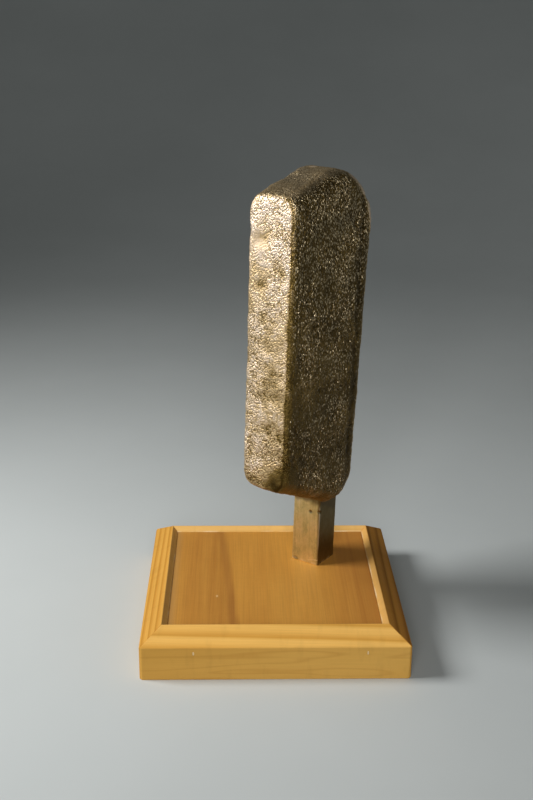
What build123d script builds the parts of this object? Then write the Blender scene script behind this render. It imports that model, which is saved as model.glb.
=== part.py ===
"""A cast metal ingot standing on its end, on a square post over a framed wooden stand.

The origin is the centre of the stand's underside, +Z is up and -Y is the front. Millimetres.
"""
import os
from math import cos, radians, tan

from build123d import *

# Stand: four mitred rails nailed around a board
stand_width = 203.2
rail_width = 20.4
rail_outer_height = 26.9
rail_crest_height = 37.7
rail_crest_inset = 16.0
rail_edge_ease = 0.8
corner_ease = 2.0
panel_thickness = 19.0
panel_top = 33.6
panel_gap = 0.2

# Post: a square bar that leans and turns with the ingot, off the middle of the board
post_width = 25.4
post_edge_ease = 0.6
post_x = 35.1
post_y = 33.8
turn = -36.0
lean = 1.5

# Screw from below, through the board into the post
screw_diameter = 8.0
screw_head_diameter = 15.0
screw_head_height = 4.5
screw_grip = 22.0
screw_clearance = 0.3
thread_gap = 0.1
counterbore_depth = 6.0
hex_socket_width = 5.0
hex_socket_depth = 2.6

# Ingot: the mould's floor made its narrow face, and the mould's open top the pour face behind it.
# Heights are taken along the ingot from the board, and depths from the narrow face.
narrow_width = 42.5
narrow_length = 226.5
narrow_height = 89.5
narrow_to_post = 78.0
pour_depth = 107.5
pour_tilt = 2.4
side_draft = 1.5
low_end_draft = 24.5
high_end_draft = 15.0
pour_corner_low = 25.5
pour_corner_high = 51.0
narrow_ease = 5.5
wall_ease = 13.0
sink_rim = 3.0
sink_depth = 1.5
sink_slope = 60.0

# Stand and screw sizes that follow from those above
panel_width = stand_width - 2 * (rail_width + panel_gap)
panel_under = panel_top - panel_thickness
screw_seat = panel_under + counterbore_depth

# Where the drafted ends of the ingot meet its tilted pour face: depth, height
narrow_top = narrow_height + narrow_length
narrow_middle = narrow_height + narrow_length / 2
tilt_run = tan(radians(pour_tilt))
low_end_fall = tan(radians(low_end_draft))
high_end_rise = tan(radians(high_end_draft))
low_depth = (pour_depth - tilt_run * narrow_length / 2) / (1 + tilt_run * low_end_fall)
high_depth = (pour_depth + tilt_run * narrow_length / 2) / (1 - tilt_run * high_end_rise)
low_corner = (low_depth, narrow_height - low_depth * low_end_fall)
high_corner = (high_depth, narrow_top + high_depth * high_end_rise)

# The flat of the pour face, between its corner arcs: its ends along the face from its middle, and its width
low_tangent = pour_corner_low / tan(radians(90 + pour_tilt - low_end_draft) / 2)
high_tangent = pour_corner_high / tan(radians(90 - pour_tilt - high_end_draft) / 2)
flat_low = (low_corner[1] - narrow_middle) / cos(radians(pour_tilt)) + low_tangent
flat_high = (high_corner[1] - narrow_middle) / cos(radians(pour_tilt)) - high_tangent
pour_width = narrow_width + 2 * pour_depth * tan(radians(side_draft))

# The ingot's own frame, from its foot on the board: X across its width, Y into its depth, Z up its length
foot = Plane(origin=(post_x, post_y, panel_top), x_dir=(1, 0, 0), z_dir=(tan(radians(lean)), 0, 1))
ingot_frame = foot.rotated((0, 0, turn))
width_axis = Axis(ingot_frame.origin, ingot_frame.x_dir)
depth_axis = Axis(ingot_frame.origin, ingot_frame.y_dir)

os.makedirs("parts", exist_ok=True)

# Ingot: its outline is drawn on both drafted walls, lofted from wall to wall, then eased
with BuildPart() as ingot:
    for side in (-1, 1):
        draft_run = side * tan(radians(side_draft))
        wall = Plane(
            origin=ingot_frame.from_local_coords((side * narrow_width / 2, -narrow_to_post, 0)),
            x_dir=ingot_frame.y_dir + ingot_frame.x_dir * draft_run,
            z_dir=ingot_frame.x_dir - ingot_frame.y_dir * draft_run,
        )
        with BuildSketch(wall) as outline:
            with BuildLine():
                Polyline((0, narrow_top), (0, narrow_height), low_corner, high_corner, close=True)
            make_face()
            fillet(outline.vertices().sort_by_distance(low_corner)[0], radius=pour_corner_low)
            fillet(outline.vertices().sort_by_distance(high_corner)[0], radius=pour_corner_high)
    loft(ruled=True)
    walls = ingot.faces().sort_by(width_axis)
    narrow_edges = ingot.faces().sort_by(depth_axis)[0].edges()
    wall_edges = walls[0].edges() + walls[-1].edges()
    fillet([edge for edge in wall_edges if edge not in narrow_edges], radius=wall_ease)
    fillet(ingot.faces().sort_by(depth_axis)[0].edges(), radius=narrow_ease)
    pour_plane = Plane(
        origin=ingot_frame.from_local_coords((0, pour_depth - narrow_to_post, narrow_middle)),
        x_dir=ingot_frame.z_dir + ingot_frame.y_dir * tilt_run,
        z_dir=ingot_frame.y_dir - ingot_frame.z_dir * tilt_run,
    )
    with BuildSketch(pour_plane):
        with Locations(((flat_low + flat_high) / 2, 0)):
            SlotOverall(flat_high - flat_low - 2 * sink_rim, pour_width - 2 * (wall_ease + sink_rim))
    extrude(amount=-sink_depth, taper=sink_slope, mode=Mode.SUBTRACT)
ingot.part.label = "ingot"
export_step(ingot.part, "parts/ingot.step")

# Post: a length of square bar, cut level on the board and coped to the ingot's underside
with BuildPart() as post:
    with BuildSketch(ingot_frame) as bar_section:
        Rectangle(post_width, post_width)
        fillet(bar_section.vertices(), radius=post_edge_ease)
    extrude(amount=narrow_height)
    extrude(bar_section.sketch, amount=-post_width)
    split(bisect_by=Plane.XY.offset(panel_top), keep=Keep.TOP)
    add(ingot.part, mode=Mode.SUBTRACT)
    with BuildSketch(Plane.XY.offset(panel_top)):
        with Locations((post_x, post_y)):
            Circle(screw_diameter / 2 + thread_gap)
    extrude(amount=screw_grip + screw_clearance, mode=Mode.SUBTRACT)
post.part.label = "post"
export_step(post.part, "parts/post.step")

# Mounting screw: a socket-head screw whose head sits in the board's counterbore
with BuildPart() as mounting_screw:
    with BuildSketch(Plane.XY.offset(screw_seat)):
        with Locations((post_x, post_y)):
            Circle(screw_head_diameter / 2)
    extrude(amount=-screw_head_height)
    with BuildSketch(Plane.XY.offset(screw_seat)):
        with Locations((post_x, post_y)):
            Circle(screw_diameter / 2)
    extrude(amount=panel_top + screw_grip - screw_seat)
    with BuildSketch(Plane.XY.offset(screw_seat - screw_head_height)):
        with Locations((post_x, post_y)):
            RegularPolygon(hex_socket_width / 2, 6, major_radius=False)
    extrude(amount=hex_socket_depth, mode=Mode.SUBTRACT)
mounting_screw.part.label = "mounting_screw"
export_step(mounting_screw.part, "parts/mounting_screw.step")

# Panel: the board between the rails, bored and counterbored for the screw
with BuildPart() as panel:
    with BuildSketch(Plane.XY.offset(panel_under)):
        Rectangle(panel_width, panel_width)
    extrude(amount=panel_thickness)
    with BuildSketch(Plane.XY.offset(panel_under)):
        with Locations((post_x, post_y)):
            Circle(screw_diameter / 2 + screw_clearance)
    extrude(amount=panel_thickness, mode=Mode.SUBTRACT)
    with BuildSketch(Plane.XY.offset(panel_under)):
        with Locations((post_x, post_y)):
            Circle(screw_head_diameter / 2 + screw_clearance)
    extrude(amount=counterbore_depth, mode=Mode.SUBTRACT)
panel.part.label = "panel"
export_step(panel.part, "parts/panel.step")

# Rails: one moulded section run along each side, mitred at the corners
rail_turns = {"front_rail": 0, "right_rail": 90, "back_rail": 180, "left_rail": 270}
for rail_name, rail_turn in rail_turns.items():
    stand_side = Plane.XY.rotated((0, 0, rail_turn))
    outer_face = Plane(
        origin=stand_side.from_local_coords((0, -stand_width / 2, 0)),
        x_dir=stand_side.y_dir,
        z_dir=stand_side.x_dir,
    )
    with BuildPart() as rail:
        with BuildSketch(outer_face) as section:
            with BuildLine():
                Polyline(
                    (0, 0),
                    (0, rail_outer_height),
                    (rail_crest_inset, rail_crest_height),
                    (rail_width, panel_top),
                    (rail_width, 0),
                    close=True,
                )
            make_face()
            outer_edges = section.vertices().group_by(Axis.X)[0]
            fillet(outer_edges, radius=rail_edge_ease)
        extrude(amount=stand_width / 2, both=True)
        for end in (1, -1):
            mitre = Plane(origin=(0, 0, 0), z_dir=stand_side.x_dir * end + stand_side.y_dir)
            split(bisect_by=mitre, keep=Keep.BOTTOM)
        with BuildSketch(Plane.XY):
            RectangleRounded(stand_width, stand_width, corner_ease)
        extrude(amount=rail_crest_height, mode=Mode.INTERSECT)
    rail.part.label = rail_name
    export_step(rail.part, f"parts/{rail_name}.step")
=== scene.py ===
import math

import bmesh
import bpy
from mathutils import Matrix, Vector, geometry, noise


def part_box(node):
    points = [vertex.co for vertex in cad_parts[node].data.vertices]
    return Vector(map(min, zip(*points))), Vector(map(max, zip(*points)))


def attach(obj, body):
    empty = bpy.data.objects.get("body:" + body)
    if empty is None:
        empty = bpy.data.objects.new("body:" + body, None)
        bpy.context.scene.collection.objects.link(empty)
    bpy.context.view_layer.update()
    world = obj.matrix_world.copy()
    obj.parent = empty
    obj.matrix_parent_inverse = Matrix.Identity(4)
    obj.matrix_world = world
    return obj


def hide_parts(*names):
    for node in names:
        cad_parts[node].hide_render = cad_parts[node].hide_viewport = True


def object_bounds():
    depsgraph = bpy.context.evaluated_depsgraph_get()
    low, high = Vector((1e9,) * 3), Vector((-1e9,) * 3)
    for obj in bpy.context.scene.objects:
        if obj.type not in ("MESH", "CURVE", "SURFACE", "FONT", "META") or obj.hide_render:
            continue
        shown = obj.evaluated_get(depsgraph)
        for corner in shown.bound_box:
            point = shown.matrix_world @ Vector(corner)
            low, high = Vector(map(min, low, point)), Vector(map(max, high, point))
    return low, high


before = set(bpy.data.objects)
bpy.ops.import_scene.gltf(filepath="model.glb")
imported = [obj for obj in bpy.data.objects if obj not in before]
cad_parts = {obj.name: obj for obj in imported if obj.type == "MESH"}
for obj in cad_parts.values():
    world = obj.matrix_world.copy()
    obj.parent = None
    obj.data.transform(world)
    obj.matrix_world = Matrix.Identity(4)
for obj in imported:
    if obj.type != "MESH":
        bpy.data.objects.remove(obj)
cad_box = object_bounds()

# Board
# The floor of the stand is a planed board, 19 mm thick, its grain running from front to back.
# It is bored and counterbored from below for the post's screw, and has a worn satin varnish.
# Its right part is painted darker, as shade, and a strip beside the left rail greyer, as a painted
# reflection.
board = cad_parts["panel"]
board_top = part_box("panel")[1].z
board_tones = [
    (0.30, (0.585, 0.262, 0.044)),
    (0.48, (0.62, 0.288, 0.049)),
    (0.66, (0.645, 0.310, 0.054)),
]
streak_at = -0.0352
streak_slant = 0.0732
streak_reach = (-0.040, 0.006)
streak_waver = 0.004
streak_depth = [
    (0.0, 0.12),
    (0.20, 0.24),
    (0.55, 0.34),
    (0.78, 0.44),
    (0.85, 0.95),
    (0.91, 0.85),
    (0.99, 0.0),
]
streak_tone = (0.30, 0.115, 0.025)
# Painted shade: the board's right part is painted darker and redder.
right_shade_reach = (0.026, 0.080)
right_shade_tone = (0.44, 0.172, 0.032)
# A painted reflection: the board is greyer in a narrow strip beside the left rail.
reflection_strip_reach = (-0.0745, -0.0795)
reflection_strip_tone = (0.42, 0.27, 0.115)
nick_at = Vector((-0.0447, -0.0349, board_top))
nick_size = Vector((0.0011, 0.0022, 0.004))
bare_wood = (0.72, 0.48, 0.22)


def add_node(tree, kind, inputs=None, **settings):
    """A node of that kind, with its settings and the values or links of its inputs."""
    node = tree.nodes.new("ShaderNode" + kind)
    for setting, value in settings.items():
        setattr(node, setting, value)
    for socket, value in (inputs or {}).items():
        if isinstance(value, bpy.types.NodeSocket):
            tree.links.new(value, node.inputs[socket])
        else:
            node.inputs[socket].default_value = value
    return node


def start_finish(name):
    """A new material, its node tree, its shader and the place of a point on the piece."""
    finish = bpy.data.materials.new(name)
    finish.use_nodes = True
    tree = finish.node_tree
    place = add_node(tree, "TexCoord").outputs["Object"]
    return finish, tree, tree.nodes["Principled BSDF"], place


def end_finish(tree, shader, colour, roughness, bump):
    """Joins a finish's colour, roughness and bump to its shader."""
    tree.links.new(colour, shader.inputs["Base Color"])
    tree.links.new(roughness, shader.inputs["Roughness"])
    tree.links.new(bump, shader.inputs["Normal"])


def refinish(piece, finish):
    """Gives a piece that finish alone."""
    piece.data.materials.clear()
    piece.data.materials.append(finish)


def add_math(tree, how, *numbers):
    """Two or three numbers put together by one step of arithmetic."""
    return add_node(tree, "Math", dict(enumerate(numbers)), operation=how).outputs[0]


def add_range(tree, value, start, end, low=0.0, high=1.0):
    """From low, where the value is at the start, to high, where it is at the end, and level beyond."""
    reach = {"Value": value, "From Min": start, "From Max": end, "To Min": low, "To Max": high}
    return add_node(tree, "MapRange", reach).outputs[0]


def add_ramp(tree, factor, stops):
    """A colour ramp through the given stops, each a place from 0 to 1 with a colour or a grey level."""
    ramp = add_node(tree, "ValToRGB", {"Fac": factor})
    while len(ramp.color_ramp.elements) < len(stops):
        ramp.color_ramp.elements.new(1.0)
    for element, (at, tone) in zip(ramp.color_ramp.elements, stops):
        element.position = at
        rgb = tone if isinstance(tone, tuple) else (tone, tone, tone)
        element.color = (*rgb, 1.0)
    return ramp.outputs["Color"]


def add_mix(tree, factor, first, second, how="MIX"):
    """A mix of two colours, each a socket or a plain colour."""
    mix = add_node(tree, "Mix", data_type="RGBA", blend_type=how)
    for socket, value in ((0, factor), (6, first), (7, second)):
        if isinstance(value, bpy.types.NodeSocket):
            tree.links.new(value, mix.inputs[socket])
        else:
            mix.inputs[socket].default_value = (*value, 1.0) if isinstance(value, tuple) else value
    return mix.outputs[2]


def add_shading(tree, amount, colour, pattern, stops):
    """A colour darkened, by that amount, with a ramp laid over a pattern."""
    return add_mix(tree, amount, colour, add_ramp(tree, pattern, stops), "MULTIPLY")


def add_noise(tree, place, stretch, detail=3.0, roughness=0.55, turn=(0.0, 0.0, 0.0), shift=(0.0, 0.0, 0.0)):
    """Noise whose grains are as many to the metre, each way, as the stretch says."""
    to_grain = {"Vector": place, "Scale": stretch, "Rotation": turn, "Location": shift}
    mapping = add_node(tree, "Mapping", to_grain)
    settings = {"Vector": mapping.outputs[0], "Scale": 1.0, "Detail": detail, "Roughness": roughness}
    return add_node(tree, "TexNoise", settings).outputs["Fac"]


def add_bump(tree, strength, distance, height):
    """The fine relief that a height gives a surface, as deep as the distance at full strength."""
    settings = {"Strength": strength, "Distance": distance, "Height": height}
    return add_node(tree, "Bump", settings).outputs[0]


board_finish, tree, shader, place = start_finish("satin_board")
bands = add_noise(tree, place, (48.0, 2.2, 48.0), detail=5.0, roughness=0.62, shift=(3.1, 0.4, 0.0))
colour = add_ramp(tree, bands, board_tones)
fibres = add_noise(tree, place, (950.0, 14.0, 950.0), detail=2.0)
colour = add_shading(tree, 0.22, colour, fibres, [(0.30, 0.45), (0.60, 1.0)])
cross_figure = add_noise(tree, place, (110.0, 480.0, 110.0), roughness=0.7, shift=(0.0, 0.0, 7.0))
colour = add_shading(tree, 0.08, colour, cross_figure, [(0.35, 0.55), (0.62, 1.0)])
axes = add_node(tree, "SeparateXYZ", {"Vector": place}).outputs
slanted = add_math(tree, "MULTIPLY_ADD", axes["Y"], streak_slant, axes["X"])
waver = add_noise(tree, place, (20.0, 14.0, 20.0))
slanted = add_math(tree, "MULTIPLY_ADD", waver, streak_waver, slanted)
across_streak = add_range(tree, slanted, streak_at + streak_reach[0], streak_at + streak_reach[1])
streak = add_ramp(tree, across_streak, streak_depth)
# Painted shade over the board's right part, which also deepens its fine bands there.
right_shade = add_math(tree, "MULTIPLY", add_range(tree, slanted, *right_shade_reach), 0.62)
fine_bands = add_noise(tree, place, (210.0, 3.0, 210.0), shift=(0.0, 1.3, 0.0))
banding = add_math(tree, "MULTIPLY_ADD", streak, 0.75, right_shade)
colour = add_shading(tree, banding, colour, fine_bands, [(0.34, (0.62, 0.48, 0.42)), (0.56, 1.0)])
colour = add_mix(tree, add_math(tree, "MULTIPLY", streak, 0.55), colour, streak_tone)
# The painted reflection beside the left rail, then the painted shade over the right part.
reflection_strip = add_math(tree, "MULTIPLY", add_range(tree, axes["X"], *reflection_strip_reach), 0.32)
colour = add_mix(tree, reflection_strip, colour, reflection_strip_tone)
colour = add_mix(tree, right_shade, colour, right_shade_tone)
clouds = add_noise(tree, place, (26.0, 12.0, 26.0), shift=(0.0, 4.0, 0.0))
colour = add_shading(tree, 0.30, colour, clouds, [(0.35, (0.80, 0.76, 0.74)), (0.62, 1.0)])
to_nick = add_node(
    tree, "Mapping", {"Vector": place, "Location": nick_at, "Scale": nick_size}, vector_type="TEXTURE"
)
nick = add_node(tree, "TexGradient", {"Vector": to_nick.outputs[0]}, gradient_type="SPHERICAL")
nick = add_ramp(tree, nick.outputs["Fac"], [(0.0, 0.0), (0.5, 0.75)])
colour = add_mix(tree, nick, colour, bare_wood)
sheen_spots = add_noise(tree, place, (60.0, 25.0, 60.0), detail=4.0)
sheen = add_ramp(tree, sheen_spots, [(0.3, 0.48), (0.7, 0.62)])
end_finish(tree, shader, colour, sheen, add_bump(tree, 0.25, 0.0002, fibres))
shader.inputs["Coat Weight"].default_value = 0.02
shader.inputs["Coat Roughness"].default_value = 0.35
shader.inputs["Specular IOR Level"].default_value = 0.20
refinish(board, board_finish)

# Rails
# Four strips of clear pine frame the board, moulded with an outer slope, a crest and a short inner
# slope down to the board. They are mitred at the corners, nailed from outside and varnished amber.
rail_low, rail_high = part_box("front_rail")
rail_length = rail_high.x - rail_low.x
rail_width = rail_high.y - rail_low.y
outer_height = 0.0269
crest_inset = 0.0160
rail_section = [
    (0.0, 0.0),
    (0.0, outer_height),
    (crest_inset, rail_high.z),
    (rail_width, board_top),
    (rail_width, 0.0),
]
corner_ease = 0.0020
corner_steps = 4
arris_ease = 0.00045
nail_places = (-0.0612, 0.0686)
nail_height = 0.0221
hole_half_width = 0.0007
hole_half_height = 0.0017
hole_depth = 0.0010
inner_slope_tone = (0.75, 0.455, 0.145)
# The rails' outer faces are painted darker, a painted shade.
outer_face_shade_tone = (0.54, 0.300, 0.064)
wax_tone = (0.90, 0.75, 0.50)
# For each strip: its pith's distance to the side and below, the width of a growth ring, a seed for its
# figure, how far its grain drifts, its tint, which on the right rail is partly painted shade, and how
# dark its late wood is.
rail_stock = {
    "front_rail": ((0.030, 0.010), 0.0085, 0.0, 0.030, (1.17, 1.18, 1.25), 1.0),
    # The right rail's tint is darker, partly its own wood and partly painted shade.
    "right_rail": ((0.060, 0.016), 0.0074, 3.7, 0.018, (0.84, 0.66, 0.42), 0.74),
    "back_rail": ((0.040, 0.004), 0.0070, 7.9, -0.016, (1.10, 1.14, 1.45), 1.0),
    "left_rail": ((0.080, 0.020), 0.0046, 12.4, 0.010, (0.95, 0.87, 0.71), 0.96),
}


def keep_behind(shape, point, outward):
    """Cuts the shape off at a plane and closes the cut."""
    everything = shape.verts[:] + shape.edges[:] + shape.faces[:]
    cut = bmesh.ops.bisect_plane(shape, geom=everything, plane_co=point, plane_no=outward, clear_outer=True)
    rim = [edge for edge in cut["geom_cut"] if isinstance(edge, bmesh.types.BMEdge)]
    if rim:
        bmesh.ops.contextual_create(shape, geom=rim)


def link_piece(shape, name, finish):
    """A bmesh made into an object of the scene, with its finish."""
    mesh = bpy.data.meshes.new(name)
    shape.to_mesh(mesh)
    shape.free()
    mesh.materials.append(finish)
    piece = bpy.data.objects.new(name, mesh)
    bpy.context.scene.collection.objects.link(piece)
    return piece


def settle(piece):
    """Puts what the modifiers make of a piece into its own mesh."""
    made = bpy.data.meshes.new_from_object(piece.evaluated_get(bpy.context.evaluated_depsgraph_get()))
    piece.modifiers.clear()
    piece.data = made


def quarter_turn(quarter):
    """The turn about the stand's middle that takes the front rail to that side."""
    return Matrix.Rotation(math.radians(90 * quarter), 4, "Z")


def moulded_rail():
    """The front rail, as it comes off the mitre saw, with its corners and arrises eased."""
    shape = bmesh.new()
    corners = [shape.verts.new((rail_low.x, rail_low.y + across, up)) for across, up in rail_section]
    run = bmesh.ops.extrude_face_region(shape, geom=[shape.faces.new(corners)])
    moved = [part for part in run["geom"] if isinstance(part, bmesh.types.BMVert)]
    bmesh.ops.translate(shape, verts=moved, vec=(rail_length, 0.0, 0.0))
    bmesh.ops.recalc_face_normals(shape, faces=shape.faces)
    for end in (-1, 1):
        keep_behind(shape, (0.0, 0.0, 0.0), (end, 1.0, 0.0))
        corner = Vector((end * (rail_high.x - corner_ease), rail_low.y + corner_ease, 0.0))
        for step in range(1, corner_steps + 1):
            angle = math.radians(45) * (step - 0.5) / corner_steps
            outward = Vector((end * math.sin(angle), -math.cos(angle), 0.0))
            keep_behind(shape, corner + outward * corner_ease, outward)
    bmesh.ops.remove_doubles(shape, verts=shape.verts, dist=1e-6)
    bmesh.ops.recalc_face_normals(shape, faces=shape.faces)
    arrises = [edge for edge in shape.edges if edge.calc_face_angle(0.0) > math.radians(20)]
    bmesh.ops.bevel(
        shape, geom=arrises, offset=arris_ease, offset_type="OFFSET", affect="EDGES",
        segments=2, profile=0.5, material=-1, clamp_overlap=True,
    )
    return shape


def add_nail_plugs(shape, quarter, depth, swell=1.0, sunk=0.0):
    """Adds a rounded plug for each nail of that side's rail, reaching from its face into the wood."""
    size = Matrix.Diagonal((hole_half_width * swell, depth, hole_half_height * swell, 1.0))
    for x in nail_places:
        plug = bmesh.ops.create_uvsphere(shape, u_segments=20, v_segments=12, radius=1.0)
        at = Matrix.Translation((x, rail_low.y + sunk, nail_height))
        bmesh.ops.transform(shape, verts=plug["verts"], matrix=quarter_turn(quarter) @ at @ size)


def pine_finish(name, quarter, pith, ring, seed, drift, tint_and_shade, late_wood):
    """Varnished pine whose fibres run along that side's rail, cut and tinted as its stock says; the tint can
    hold painted shade.
    """
    finish, tree, shader, place = start_finish(name)
    turn = math.radians(-90 * quarter)
    along = add_node(tree, "Mapping", {"Vector": place, "Rotation": (0.0, 0.0, turn + drift)}).outputs[0]
    to_pith = {"Vector": along, "Location": (seed, -pith[0], -pith[1]), "Scale": (0.10, 1.0, 1.0)}
    from_pith = add_node(tree, "Mapping", to_pith).outputs[0]
    rings = add_node(
        tree, "TexWave",
        {
            "Vector": from_pith, "Scale": math.pi / (10.0 * ring), "Distortion": 3.0,
            "Detail": 3.0, "Detail Scale": 0.32, "Detail Roughness": 0.55,
        },
        wave_type="RINGS", rings_direction="X", wave_profile="SAW",
    ).outputs["Fac"]
    half_late = (1.0 + late_wood) / 2
    growth = [
        (0.0, (0.68, 0.375, 0.082), half_late),
        (0.16, (0.75, 0.43, 0.105), 1.0),
        (0.50, (0.72, 0.40, 0.092), 1.0),
        (0.76, (0.63, 0.325, 0.062), half_late),
        (0.90, (0.57, 0.285, 0.048), late_wood),
        (1.0, (0.64, 0.345, 0.070), half_late),
    ]
    # The tint, with any painted shade in it, goes over each tone of the growth rings.
    tones = []
    for at, wood, shade in growth:
        tones.append((at, tuple(part * tint * shade for part, tint in zip(wood, tint_and_shade))))
    colour = add_ramp(tree, rings, tones)
    fibres = add_noise(tree, along, (12.0, 1100.0, 1100.0), detail=2.0, shift=(seed, 0.0, 0.0))
    colour = add_shading(tree, 0.16, colour, fibres, [(0.32, 0.5), (0.62, 1.0)])
    clouds = add_noise(tree, along, (14.0, 60.0, 60.0), shift=(0.0, seed, 0.0))
    colour = add_shading(tree, 0.35, colour, clouds, [(0.3, (0.80, 0.74, 0.60)), (0.7, 1.0)])
    square_on = add_node(tree, "Mapping", {"Vector": place, "Rotation": (0.0, 0.0, turn)}).outputs[0]
    section = add_node(tree, "SeparateXYZ", {"Vector": square_on}).outputs
    crest_at = rail_low.y + crest_inset
    inner_slope = add_range(tree, section["Y"], crest_at - 0.0003, crest_at + 0.0005)
    colour = add_mix(tree, add_math(tree, "MULTIPLY", inner_slope, 0.65), colour, inner_slope_tone)
    inner_foot = add_range(tree, section["Y"], rail_high.y - 0.0011, rail_high.y - 0.0005)
    wax = add_noise(tree, along, (55.0, 300.0, 300.0), detail=2.0, shift=(seed, 0.0, 3.0))
    wax = add_math(tree, "MULTIPLY", add_ramp(tree, wax, [(0.42, 0.0), (0.66, 0.5)]), inner_foot)
    colour = add_mix(tree, wax, colour, wax_tone)
    outer_face = add_range(tree, section["Z"], outer_height + 0.0006, outer_height - 0.0006)
    # Painted shade on the outer face.
    colour = add_mix(tree, add_math(tree, "MULTIPLY", outer_face, 0.6), colour, outer_face_shade_tone)
    figure = add_noise(tree, along, (7.0, 40.0, 75.0), detail=1.5, roughness=0.4, shift=(seed, 5.0, 0.0))
    figure = add_math(tree, "PINGPONG", add_math(tree, "MULTIPLY", figure, 9.0), 1.0)
    figured = add_math(tree, "MULTIPLY", outer_face, 0.45)
    colour = add_shading(tree, figured, colour, figure, [(0.0, (0.80, 0.72, 0.62)), (0.30, 1.0)])
    smudges = add_noise(tree, along, (150.0, 45.0, 45.0), detail=2.0, shift=(seed, 2.0, 0.0))
    colour = add_shading(tree, 0.12, colour, smudges, [(0.28, 0.5), (0.45, 1.0)])
    varnish_spots = add_noise(tree, along, (40.0, 160.0, 160.0))
    varnish = add_ramp(tree, varnish_spots, [(0.3, 0.46), (0.7, 0.60)])
    end_finish(tree, shader, colour, varnish, add_bump(tree, 0.18, 0.00025, fibres))
    shader.inputs["Specular IOR Level"].default_value = 0.06
    return finish


for quarter, (rail_name, stock) in enumerate(rail_stock.items()):
    finish = pine_finish(f"pine_{rail_name}", quarter, *stock)
    rail = link_piece(moulded_rail(), f"pine_{rail_name}", finish)
    nail_plugs = bmesh.new()
    add_nail_plugs(nail_plugs, 0, hole_depth)
    holes = link_piece(nail_plugs, "nail_holes", finish)
    drill = rail.modifiers.new("nail holes", "BOOLEAN")
    drill.operation = "DIFFERENCE"
    drill.solver = "EXACT"
    drill.object = holes
    settle(rail)
    bpy.data.objects.remove(holes)
    rail.data.transform(quarter_turn(quarter))
    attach(rail, "root")
    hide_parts(rail_name)

# Nail putty
# Each nail head is sunk in its hole and covered with a dab of pale, chalky filler.
# The filler has shrunk a little as it dried, so it lies just below the rail's face.
putty_depth = 0.00035
putty_sunk = 0.0005
putty_swell = 1.02
putty_tones = [(0.3, (0.66, 0.49, 0.25)), (0.7, (0.82, 0.65, 0.38))]
putty_finish, tree, shader, place = start_finish("pale_putty")
chalk = add_noise(tree, place, (1400.0, 1400.0, 1400.0))
colour = add_ramp(tree, chalk, putty_tones)
dryness = add_ramp(tree, chalk, [(0.3, 0.75), (0.7, 0.6)])
end_finish(tree, shader, colour, dryness, add_bump(tree, 0.4, 0.0001, chalk))
putty = bmesh.new()
for quarter in range(len(rail_stock)):
    add_nail_plugs(putty, quarter, putty_depth, putty_swell, putty_sunk)
nail_putty = link_piece(putty, "nail_putty", putty_finish)
nail_putty.data.shade_smooth()
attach(nail_putty, "root")

# Mounting screw
# A plain steel socket-head screw comes up through the board into the post. Its head sits in the
# counterbore, and its turned faces keep the fine rings of the lathe.
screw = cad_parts["mounting_screw"]
screw_low, screw_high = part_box("mounting_screw")
screw_axis = (screw_low + screw_high) / 2
steel_tones = [(0.35, (0.30, 0.30, 0.31)), (0.65, (0.50, 0.50, 0.51))]
screw_finish, tree, shader, place = start_finish("turned_steel")
on_axis = add_node(tree, "Mapping", {"Vector": place, "Location": (-screw_axis.x, -screw_axis.y, 0.0)})
lathe_rings = add_node(
    tree, "TexWave", {"Vector": on_axis.outputs[0], "Scale": 900.0, "Distortion": 1.5, "Detail": 2.0},
    wave_type="RINGS", rings_direction="Z",
).outputs["Fac"]
dulling = add_noise(tree, place, (260.0, 260.0, 260.0), detail=4.0)
colour = add_ramp(tree, dulling, steel_tones)
dullness = add_ramp(tree, dulling, [(0.35, 0.46), (0.65, 0.28)])
end_finish(tree, shader, colour, dullness, add_bump(tree, 0.2, 0.0001, lathe_rings))
shader.inputs["Metallic"].default_value = 1.0
refinish(screw, screw_finish)

# Post
# A length of one-inch square brass bar, cut level where it stands on the board and coped to the
# ingot's underside above. It is satin from the file, darker just under the ingot, with painted shade in
# its dings and on its side away from the light, and scuffed and scratched bright. Spots on its skin and
# on the ingot's are in millimetres.
ingot_foot = Vector((screw_axis.x, screw_axis.y, board_top))
ingot_lean = math.radians(1.5)
ingot_turn = math.radians(-36.0)
lean_and_turn = Matrix.Rotation(ingot_lean, 4, "Y") @ Matrix.Rotation(ingot_turn, 4, "Z")
to_ingot = (Matrix.Translation(ingot_foot) @ lean_and_turn).inverted()
millimetre = 0.001
post_voxel = 0.00042
bar_half = 12.7
seated_height = 1.0
narrow_face = -78.0
low_end_height = 89.5
low_end_fall = math.tan(math.radians(24.5))
dings = [
    (Vector((4.0, -bar_half, 47.4)), 2.0, 0.8),
    (Vector((3.4, -bar_half, 50.0)), 1.3, -0.35),
    (Vector((12.2, -bar_half, 49.0)), 2.1, 0.8),
    (Vector((-4.0, -bar_half, 49.0)), 1.1, 0.2),
    (Vector((-8.8, -bar_half, 0.6)), 2.6, 0.3),
    (Vector((bar_half, -3.0, 20.0)), 1.4, 0.25),
    (Vector((-bar_half, 6.0, 31.0)), 1.5, 0.3),
]
scratches = [
    (Vector((-3.5, -bar_half, 49.1)), Vector((5.1, -bar_half, 52.5))),
    (Vector((-11.6, -bar_half, 50.6)), Vector((-6.8, -bar_half, 50.7))),
    (Vector((-11.6, -bar_half, 38.7)), Vector((-4.6, -bar_half, 38.2))),
    (Vector((bar_half, -bar_half, 5.0)), Vector((3.5, -bar_half, 2.6))),
    (Vector((-bar_half, -8.0, 14.0)), Vector((-bar_half, 3.0, 17.0))),
]
scratch_width = 0.55
scratch_bow = 1.2
tarnish_tones = [
    (0.32, (0.56, 0.465, 0.190)),
    (0.50, (0.76, 0.635, 0.300)),
    (0.66, (0.89, 0.755, 0.435)),
]
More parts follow.
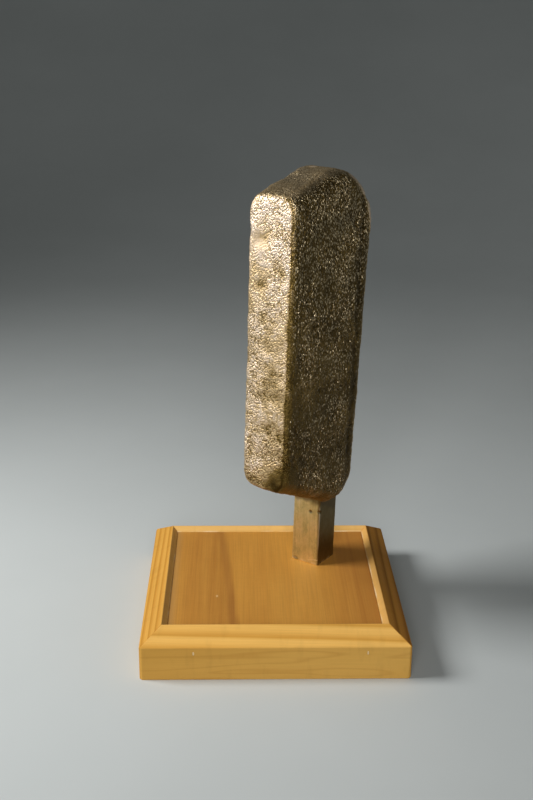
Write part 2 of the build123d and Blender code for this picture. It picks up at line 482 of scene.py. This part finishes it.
# Painted shade on the side of the post away from the light.
shade_side_reach = (11.2 * millimetre, 13.0 * millimetre)
shade_side_tone = (0.115, 0.068, 0.014)
# Painted shade in the dings, and a darker band just under the ingot.
dent_shade_and_dark_top_tone = (0.12, 0.075, 0.025)
bare_brass = (1.0, 0.90, 0.66)


def even_skin(node, name, finish, voxel, smoothing):
    """A copy of a solid's skin in small even faces, fine enough to take dents and grain."""
    shell = bmesh.new()
    shell.from_mesh(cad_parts[node].data)
    bmesh.ops.remove_doubles(shell, verts=shell.verts, dist=1e-6)
    piece = link_piece(shell, name, finish)
    remesh = piece.modifiers.new("even skin", "REMESH")
    remesh.mode = "VOXEL"
    remesh.voxel_size = voxel
    smooth = piece.modifiers.new("smooth skin", "SMOOTH")
    smooth.factor = 0.5
    smooth.iterations = smoothing
    settle(piece)
    refinish(piece, finish)
    return piece


def open_skin(piece, marks):
    """A piece's mesh to work on, and a layer on its points for each mark that its finish reads."""
    skin = bmesh.new()
    skin.from_mesh(piece.data)
    skin.normal_update()
    for mark in marks:
        skin.verts.layers.float.new(mark)
    return skin, [skin.verts.layers.float[mark] for mark in marks]


def close_skin(skin, piece):
    """Puts the worked skin back on its piece."""
    skin.to_mesh(piece.data)
    skin.free()
    piece.data.shade_smooth()


def fade(value, start, end):
    """From 0 at the start to 1 at the end, eased."""
    share = min(max((value - start) / (end - start), 0.0), 1.0)
    return share * share * (3.0 - 2.0 * share)


def in_dent(spot, at, reach):
    """1 in the middle of a round dent, falling to 0 at its rim and beyond."""
    near = (spot - at).length / reach
    return max(1.0 - near * near, 0.0)


def ingot_spot(point):
    """Where a point lies on the ingot or its post, in millimetres: across, into the depth, and up."""
    return (to_ingot @ point) / millimetre


bar_finish, tree, shader, place = start_finish("filed_brass")
tarnish = add_noise(tree, place, (120.0, 120.0, 75.0), detail=5.0, roughness=0.65)
colour = add_ramp(tree, tarnish, tarnish_tones)
draw_lines = add_noise(tree, place, (620.0, 620.0, 16.0), detail=2.0)
colour = add_shading(tree, 0.30, colour, draw_lines, [(0.34, (0.62, 0.60, 0.46)), (0.58, 1.0)])
specks = add_noise(tree, place, (700.0, 700.0, 500.0), detail=2.0)
colour = add_shading(tree, 0.16, colour, specks, [(0.30, 0.35), (0.52, 1.0)])
to_bar = {"Vector": place, "Location": ingot_foot, "Rotation": (0.0, 0.0, ingot_turn)}
on_bar = add_node(tree, "Mapping", to_bar, vector_type="TEXTURE").outputs[0]
across_bar = add_node(tree, "SeparateXYZ", {"Vector": on_bar}).outputs["X"]
# Painted shade on the side of the post away from the light.
shade_side = add_math(tree, "MULTIPLY", add_range(tree, across_bar, *shade_side_reach), 0.88)
colour = add_mix(tree, shade_side, colour, shade_side_tone)
# Painted shade in the dings, and darker just under the ingot.
dent_shade_and_dark_top = add_node(tree, "Attribute", attribute_name="dent_shade_and_dark_top").outputs["Fac"]
colour = add_mix(tree, dent_shade_and_dark_top, colour, dent_shade_and_dark_top_tone)
bare = add_node(tree, "Attribute", attribute_name="bare").outputs["Fac"]
colour = add_mix(tree, bare, colour, bare_brass)
satin = add_ramp(tree, tarnish, [(0.30, 0.52), (0.68, 0.36)])
file_marks = add_noise(tree, place, (160.0, 160.0, 1800.0), detail=2.0, turn=(0.0, 0.35, 0.0))
filed = add_bump(tree, 0.22, 0.00015, add_math(tree, "ADD", file_marks, specks))
end_finish(tree, shader, colour, satin, filed)
shader.inputs["Metallic"].default_value = 1.0

post = even_skin("post", "brass_post", bar_finish, post_voxel, 2)
skin, (dent_shade_and_dark_top_of, bare_of) = open_skin(post, ("dent_shade_and_dark_top", "bare"))
for vert in skin.verts:
    spot = ingot_spot(vert.co)
    below_ingot = low_end_height - (spot.y - narrow_face) * low_end_fall - spot.z
    # Darker within a few millimetres under the ingot, with a wavering edge.
    dark_top_reach = 6.0 + 3.5 * noise.noise(spot / 6.0)
    dent_shade_and_dark_top_share = 0.75 * (1.0 - fade(below_ingot, 0.4 * dark_top_reach, dark_top_reach))
    sink = 0.05 * noise.noise(spot / 11.0) - 0.05
    for at, reach, depth in dings:
        inside = in_dent(spot, at, reach)
        sink -= depth * inside ** 2
        # Painted shade in each ding.
        dent_shade_and_dark_top_share = max(dent_shade_and_dark_top_share, min(2.0 * depth, 1.0) * math.sqrt(inside))
    scuffed = fade(noise.noise(Vector((spot.x / 5.0, spot.y / 5.0, spot.z / 13.0))), -0.2, 0.4)
    at_edge = fade(min(abs(spot.x), abs(spot.y)), bar_half - 1.1, bar_half - 0.2)
    at_foot = 1.0 - fade(spot.z, 0.6, 2.6)
    scraped = scuffed * max(0.38 * at_edge, 0.5 * at_foot)
    for start, end in scratches:
        nearest, share = geometry.intersect_point_line(spot, start, end)
        bow = Vector((0.0, 0.0, scratch_bow * share * (1.0 - share)))
        if -0.05 < share < 1.05:
            aside = (spot - nearest - bow).length
            scraped = max(scraped, 0.9 * (1.0 - fade(aside, 0.0, scratch_width)))
    vert[dent_shade_and_dark_top_of] = dent_shade_and_dark_top_share
    vert[bare_of] = scraped * (1.0 - dent_shade_and_dark_top_share)
    if spot.z > seated_height:
        vert.co += vert.normal * sink * millimetre
close_skin(skin, post)
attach(post, "root")
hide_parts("post")

# Its colour also carries painted light: the narrow face is lighter and the walls darker, partly as painted
# light and shade, with painted highlights on an edge, the lip and two spots of the top.
# Ingot
# A bar of brass or bronze, cast flat in an open mould and stood on its low end. Its skin keeps the
# grain of the mould, with bright worn grains over a brown patina, and a lip at the rim of its open side.
# Turns round its upright edges are in degrees.
ingot_voxel = 0.00108
ingot_top = cad_box[1].z
top_clearance = 0.0001
skin_set_in = 0.35
smooth_patches = [
    (Vector((-9.0, narrow_face, 281.0)), 12.5, 0.85),
    (Vector((-15.0, narrow_face, 312.0)), 6.0, 0.8),
    (Vector((2.0, -30.0, 333.0)), 16.0, 0.8),
    (Vector((13.0, narrow_face, 99.0)), 18.0, 0.4),
]
# Painted highlights on two spots of the top.
top_highlights = [
    (Vector((-3.0, -24.0, 330.0)), 4.5),
    (Vector((-9.0, -38.0, 327.0)), 3.5),
]
thumb_dents = [
    (Vector((-6.5, narrow_face, 249.0)), 9.0, 1.2),
    (Vector((9.0, narrow_face, 262.0)), 9.5, 0.8),
    (Vector((21.0, -52.0, 215.0)), 14.0, 0.5),
    (Vector((22.0, -20.0, 140.0)), 18.0, 0.5),
    (Vector((-12.0, -41.0, 326.0)), 22.0, 1.7),
]
flat_at = Vector((-8.0, narrow_face, 280.0))
flat_reach = 20.0
flat_slope = 0.085
stain_at = Vector((14.0, narrow_face, 99.0))
folds_low, folds_high = 96.0, 176.0
lip_turn, lip_spread = 21.0, 6.0
lip_rise = (272.0, 292.0)
lip_gap, lip_gap_spread = 306.0, 3.0
inside_rim_at, inside_rim_spread = 8.0, 4.0
meniscus_spread = 3.0
groove_turn, groove_spread = 15.0, 8.0
# Where the painted highlight lies along the rounded edge beside the narrow face.
edge_highlight_turn, edge_highlight_spread = 40.0, 15.0
cast_tones = [
    (0.0, (0.060, 0.037, 0.008)),
    (0.25, (0.205, 0.134, 0.039)),
    (0.60, (0.63, 0.462, 0.255)),
    (1.0, (0.92, 0.75, 0.595)),
]
fleck_tone = (0.98, 0.79, 0.50)
pit_tone = (0.16, 0.100, 0.034)
dust_tone = (0.52, 0.41, 0.265)
grain_slant = math.radians(50.0)
grain_size = (1 / 560.0, 1 / 860.0, 1 / 860.0)
grain_wander = (0.0012, 0.0012, 0.0012)


def hump(value, middle, spread):
    """1 at the middle, falling off smoothly to both sides."""
    return math.exp(-(((value - middle) / spread) ** 2))


def cast_relief(spot, facing):
    """How far the cast skin stands out at a spot that faces that way, and the marks it has there.

    The marks are how coarse its grain is, how worn it is (with painted light and shade in that), how
    dulled by dust and how flecked with bright grains.
    """
    front = fade(-facing.y, 0.35, 0.9)
    poured = fade(facing.y, 0.5, 0.85)
    far_wall = fade(-facing.x, 0.4, 0.8)
    under = fade(-facing.z, 0.1, 0.5)

    # The mould's grain, over broader lumps
    coarse = 0.60 + 0.40 * fade(noise.noise(spot / 27.0), -0.35, 0.35)
    for at, reach, evened in smooth_patches:
        coarse *= 1.0 - evened * (1.0 - fade((spot - at).length, 0.15 * reach, reach))
    height = 0.50 * noise.noise(spot / 33.0 + Vector((4.0, 0.0, 0.0)))
    height += (0.45 + 0.15 * front) * noise.noise(spot / 8.0)
    height += 0.5 * front * noise.noise(spot / 14.0)
    grain = (0.75 - 0.35 * front) * (0.45 - noise.voronoi(spot / 3.2)[0][0])
    height += coarse * (grain + 0.18 * noise.noise(spot / 2.9))

    # Dents, a flat that is pressed in at a slant, and the ripples of the folds
    dented = 0.0
    for at, reach, depth in thumb_dents:
        dented -= depth * in_dent(spot, at, reach) ** 2
    on_flat = 1.0 - fade((spot - flat_at).length, 0.25 * flat_reach, flat_reach)
    height += dented - flat_slope * (spot.z - flat_at.z) * on_flat
    in_folds = front * fade(spot.z, folds_low, folds_low + 14.0)
    in_folds *= 1.0 - fade(spot.z, folds_high - 16.0, folds_high)
    warp = 3.0 * noise.noise(Vector((spot.x / 30.0, 3.0, spot.z / 30.0)))
    height += in_folds * 0.6 * noise.noise(Vector((spot.x / 70.0, 9.0, (spot.z + warp) / 10.0)))

    # The lip at the rim of the open side, highest near the top, and the hollow inside it
    rim = math.degrees(math.atan2(facing.y, abs(facing.x)))
    lip = hump(rim, lip_turn, lip_spread) * fade(abs(facing.x) + abs(facing.y), 0.75, 0.95)
    high_lip = fade(spot.z, *lip_rise) * (1.0 - 0.8 * hump(spot.z, lip_gap, lip_gap_spread))
    height += lip * (0.25 + 1.3 * high_lip * (1.0 - 0.7 * fade(facing.z, 0.35, 0.65)))
    inside_rim = hump(spot.y, inside_rim_at, inside_rim_spread) * fade(abs(facing.x), 0.6, 0.9)
    height -= 0.5 * inside_rim

    # The meniscus round the post, the wrinkled open side, and the groove beside the narrow face
    beside_post = max(abs(spot.x), abs(spot.y)) - bar_half
    meniscus = under * hump(beside_post, 0.0, meniscus_spread)
    height += 1.3 * meniscus
    wrinkles = 0.30 * noise.noise(Vector((spot.x / 16.0, 2.0, spot.z / 7.0)))
    wrinkles += 0.12 * noise.noise(spot / 3.5)
    blowholes = 0.8 * fade(0.11 - noise.voronoi(spot / 15.0)[0][0], 0.0, 0.09)
    height += poured * (wrinkles - blowholes)
    turned = math.degrees(math.atan2(facing.x, -facing.y))
    turned += 9.0 * noise.noise(spot / 7.0) + 7.0 * noise.noise(spot / 3.0)
    groove = hump(turned, groove_turn, groove_spread) * front
    height -= 0.45 * groove

    # Wear, with painted light and shade in it: the narrow face lighter and the walls darker, partly as
    # painted light and shade, painted highlights along the edge beside it and on the lip, and painted shade
    # round the post
    wear_and_shade = 0.142 + 0.12 * noise.noise(spot / 38.0 + Vector((0.0, 7.0, 0.0)))
    wear_and_shade += 0.26 * far_wall + 0.18 * poured + 0.14 * under
    # Painted shade on the underside round the post, and darker towards the bottom.
    wear_and_shade -= 0.30 * meniscus + 0.05 * (1.0 - fade(spot.z, 120.0, 180.0))
    # The narrow face lighter, more so towards its top, partly wear and partly painted light.
    face_wear_and_light = 0.66 + 0.26 * fade(spot.z, 190.0, 310.0) + 0.35 * dented
    face_wear_and_light += 0.22 * noise.noise(spot / 24.0 + Vector((2.0, 0.0, 3.0))) + 0.26 * noise.noise(spot / 6.5)
    # Darker towards the narrow face's low end, and in the groove beside it.
    face_wear_and_light -= 0.25 * (1.0 - fade(spot.z, 94.0, 116.0)) + 0.35 * groove
    face_wear_and_light -= 0.30 * (1.0 - fade((spot - stain_at).length, 4.0, 20.0))
    # A painted highlight along the rounded edge beside the narrow face, near its top.
    edge_highlight = hump(turned, edge_highlight_turn, edge_highlight_spread) * fade(spot.z, 215.0, 275.0)
    edge_highlight *= 0.5 + 0.9 * noise.noise(spot / 6.0)
    shown = front * (1.0 - 0.88 * fade(turned, 9.0, 20.0)) + 0.5 * edge_highlight
    # On the lip the colour is lighter, partly bare flash and partly a painted highlight.
    wear_and_light = wear_and_shade + (face_wear_and_light - wear_and_shade) * shown + lip * (0.3 + 1.2 * high_lip)

    # Dust on the top, and painted highlights on two spots of it, which have no dust
    dulled = fade(facing.z, 0.6, 0.92)
    for at, reach in top_highlights:
        near = max(1.0 - (spot - at).length / reach, 0.0)
        wear_and_light += 1.2 * near
        dulled *= 1.0 - near

    # Bright flecks, most on the walls' upper half
    flecked = 0.47 + 0.30 * noise.noise(spot / 30.0) + 0.16 * noise.noise(spot / 9.0)
    flecked += 0.40 * fade(spot.z, 150.0, 300.0) - 0.5 * under
    flecked -= 0.58 * front + 0.16 * (1.0 - fade(spot.y, -72.0, -50.0))
    flecked -= 0.22 * fade(spot.y, 12.0, 26.0) + 0.3 * inside_rim
    flecked += 0.14 * fade(-facing.x, 0.05, 0.5) * fade(facing.z, 0.3, 0.7)
    flecked -= 0.22 * far_wall + 0.30 * poured

    coarse *= (1.0 - 0.48 * dulled) * (1.0 - 0.45 * under) * (1.0 - 0.45 * poured)
    coarse *= (1.0 - 0.35 * far_wall) * (1.0 - 0.8 * lip * high_lip)
    return height - skin_set_in, coarse, wear_and_light, dulled, flecked


cast_finish, tree, shader, place = start_finish("cast_brass")
skin_marks = ("relief", "coarse", "wear_and_light", "dulled", "flecked")
read_marks = [add_node(tree, "Attribute", attribute_name=mark).outputs["Fac"] for mark in skin_marks]
relief, coarse, wear_and_light, dulled, flecked = read_marks
wander = add_node(tree, "TexNoise", {"Vector": place, "Scale": 420.0, "Detail": 1.0}).outputs["Color"]
shifted = add_node(
    tree, "VectorMath", {0: wander, 1: grain_wander, 2: place}, operation="MULTIPLY_ADD"
).outputs[0]
to_grain = {"Vector": shifted, "Rotation": (0.0, -grain_slant, ingot_turn), "Scale": grain_size}
along_grain = add_node(tree, "Mapping", to_grain, vector_type="TEXTURE").outputs[0]
cells = add_node(
    tree, "TexVoronoi", {"Vector": along_grain, "Scale": 1.0, "Smoothness": 0.2}, feature="SMOOTH_F1"
).outputs["Distance"]
grains = add_ramp(tree, cells, [(0.20, 1.0), (0.48, 0.84), (0.74, 0.0)])
frost = add_noise(tree, place, (1500.0, 1500.0, 1500.0), detail=2.0)
upright = add_node(tree, "Mapping", {"Vector": shifted, "Scale": (850.0, 850.0, 470.0)}).outputs[0]
pebbles = add_node(tree, "TexVoronoi", {"Vector": upright, "Scale": 1.0}).outputs
chance = add_node(tree, "SeparateColor", {"Color": pebbles["Color"]}).outputs[0]
picked = add_math(tree, "SUBTRACT", add_math(tree, "ADD", chance, flecked), 0.92)
picked = add_ramp(tree, picked, [(0.0, 0.0), (0.24, 0.28), (0.48, 1.0)])
bared = add_ramp(tree, pebbles["Distance"], [(0.25, 1.0), (0.58, 0.0)])
flecks = add_math(tree, "MULTIPLY", picked, bared)
pits = add_math(tree, "MULTIPLY", add_ramp(tree, chance, [(0.30, 1.0), (0.38, 0.0)]), bared)
pits = add_math(tree, "MULTIPLY", pits, coarse)
surface = add_math(tree, "MULTIPLY_ADD", frost, 0.35, grains)
surface = add_math(tree, "SUBTRACT", add_math(tree, "ADD", surface, flecks), pits)
rubbed_flat = add_range(tree, wear_and_light, 0.4, 0.9, 0.95, 0.58)
rough_cast = add_bump(tree, add_math(tree, "MULTIPLY", coarse, rubbed_flat), 0.0011, surface)
patina = add_noise(tree, place, (55.0, 55.0, 40.0), detail=5.0, roughness=0.6)
shown_grains = add_mix(tree, coarse, (0.75, 0.75, 0.75), grains)
shown_metal = add_math(tree, "MULTIPLY_ADD", shown_grains, 0.60, 0.53)
# The wear mark also carries painted light and shade: it lightens the narrow face, an edge, the lip and two
# spots of the top, and darkens the walls and the underside round the post.
shown_metal = add_math(tree, "MULTIPLY", wear_and_light, shown_metal)
shown_metal = add_math(tree, "MULTIPLY_ADD", patina, 0.24, shown_metal)
shown_metal = add_math(tree, "MULTIPLY_ADD", relief, 0.20, shown_metal)
colour = add_ramp(tree, shown_metal, cast_tones)
colour = add_mix(tree, flecks, colour, fleck_tone)
colour = add_mix(tree, add_math(tree, "MULTIPLY", pits, 0.55), colour, pit_tone)
dust = add_math(tree, "MULTIPLY", dulled, 0.35)
colour = add_mix(tree, dust, colour, dust_tone)
roughness = add_ramp(tree, shown_metal, [(0.0, 0.46), (0.8, 0.42)])
roughness = add_mix(tree, coarse, (0.62, 0.62, 0.62), roughness)
roughness = add_mix(tree, flecks, roughness, (0.26, 0.26, 0.26))
roughness = add_mix(tree, dust, roughness, (0.75, 0.75, 0.75))
end_finish(tree, shader, colour, roughness, rough_cast)
shader.inputs["Metallic"].default_value = 1.0

ingot = even_skin("ingot", "cast_ingot", cast_finish, ingot_voxel, 5)
turn_to_ingot = to_ingot.to_3x3()
skin, layers = open_skin(ingot, skin_marks)
for vert in skin.verts:
    marks = cast_relief(ingot_spot(vert.co), turn_to_ingot @ vert.normal)
    vert.co += vert.normal * marks[0] * millimetre
    vert.co.z = min(vert.co.z, ingot_top - top_clearance)
    for layer, mark in zip(layers, marks):
        vert[layer] = mark
close_skin(skin, ingot)
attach(ingot, "root")
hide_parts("ingot")

# Floor
# A plain sweep of pale painted board lies under the stand. It bends up all round into a wall, well
# behind the lights and the camera.
floor_radius = 1.2
bend_radius = 2.4
wall_rise = 1.5
bend_steps = 32
sweep_steps = 96
floor_tones = [(0.3, (0.55, 0.58, 0.57)), (0.7, (0.59, 0.62, 0.61))]
floor_finish, tree, shader, place = start_finish("pale_floor")
mottle = add_noise(tree, place, (3.0, 3.0, 3.0), detail=4.0)
tree.links.new(add_ramp(tree, mottle, floor_tones), shader.inputs["Base Color"])
shader.inputs["Roughness"].default_value = 0.8
sweep = bmesh.new()
profile = [sweep.verts.new((out, 0.0, 0.0)) for out in (0.0, floor_radius / 2, floor_radius)]
for pair in zip(profile, profile[1:]):
    sweep.edges.new(pair)
bend = bmesh.ops.spin(
    sweep, geom=profile[-1:], cent=(floor_radius, 0.0, bend_radius), axis=(0.0, -1.0, 0.0),
    angle=math.radians(90), steps=bend_steps,
)
wall_foot = [part for part in bend["geom_last"] if isinstance(part, bmesh.types.BMVert)]
wall = bmesh.ops.extrude_vert_indiv(sweep, verts=wall_foot)
bmesh.ops.translate(sweep, verts=wall["verts"], vec=(0.0, 0.0, wall_rise))
bmesh.ops.spin(
    sweep, geom=sweep.verts[:] + sweep.edges[:], cent=(0.0, 0.0, 0.0), axis=(0.0, 0.0, 1.0),
    angle=math.radians(360), steps=sweep_steps, use_merge=True,
)
bmesh.ops.remove_doubles(sweep, verts=sweep.verts, dist=1e-5)
bmesh.ops.recalc_face_normals(sweep, faces=sweep.faces)
if sweep.faces[0].normal.z < 0.0:
    bmesh.ops.reverse_faces(sweep, faces=sweep.faces)
floor = link_piece(sweep, "floor", floor_finish)
floor.data.shade_smooth()

# Light
# A soft window of light stands close by on the left, and a broader one behind the camera fills in.
# The spread of both is narrowed, as by a window's deep sides, and the dim room does the rest.
light_aim = Vector((0.02, 0.0, 0.16))
room_tone = (0.90, 0.95, 0.94, 1.0)
room_strength = 0.05
# For each window: the way towards it, how far off it is, its size, its power and its spread in degrees.
windows = {
    "left_window": ((-0.83, -0.04, 0.56), 1.0, 0.40, 5.3, 130.0),
    "front_window": ((-0.09, -0.93, 0.36), 2.5, 1.2, 11.6, 110.0),
}
for name, (towards, distance, size, power, spread) in windows.items():
    window = bpy.data.lights.new(name, "AREA")
    window.shape = "SQUARE"
    window.size = size
    window.energy = power
    window.spread = math.radians(spread)
    lamp = bpy.data.objects.new(name, window)
    light_from = Vector(towards).normalized()
    lamp.location = light_aim + light_from * distance
    lamp.rotation_euler = light_from.to_track_quat("Z", "Y").to_euler()
    bpy.context.scene.collection.objects.link(lamp)
room = bpy.data.worlds.new("room")
room.use_nodes = True
backdrop = room.node_tree.nodes["Background"]
backdrop.inputs["Color"].default_value = room_tone
backdrop.inputs["Strength"].default_value = room_strength
bpy.context.scene.world = room
bpy.context.scene.view_settings.view_transform = "Standard"

# Camera
# It stands a little to the left of the middle, above the ingot's top, looking down at the stand.
# Its focal length is worked out from one in pixels and from the picture's height.
film_size = 36.0
focal_pixels = 1158.4
picture_height = 800.0
camera_at = (-0.0284, -0.8499, 0.4821)
camera_pan = math.radians(-1.51)
camera_tilt = math.radians(90.0 - 19.22)
camera_roll = math.radians(0.51)
camera_lens = bpy.data.cameras.new("camera")
camera_lens.sensor_width = film_size
camera_lens.lens = film_size * focal_pixels / picture_height
camera = bpy.data.objects.new("camera", camera_lens)
camera.matrix_world = (
    Matrix.Translation(camera_at)
    @ Matrix.Rotation(camera_pan, 4, "Z")
    @ Matrix.Rotation(camera_tilt, 4, "X")
    @ Matrix.Rotation(camera_roll, 4, "Z")
)
bpy.context.scene.collection.objects.link(camera)
bpy.context.scene.camera = camera
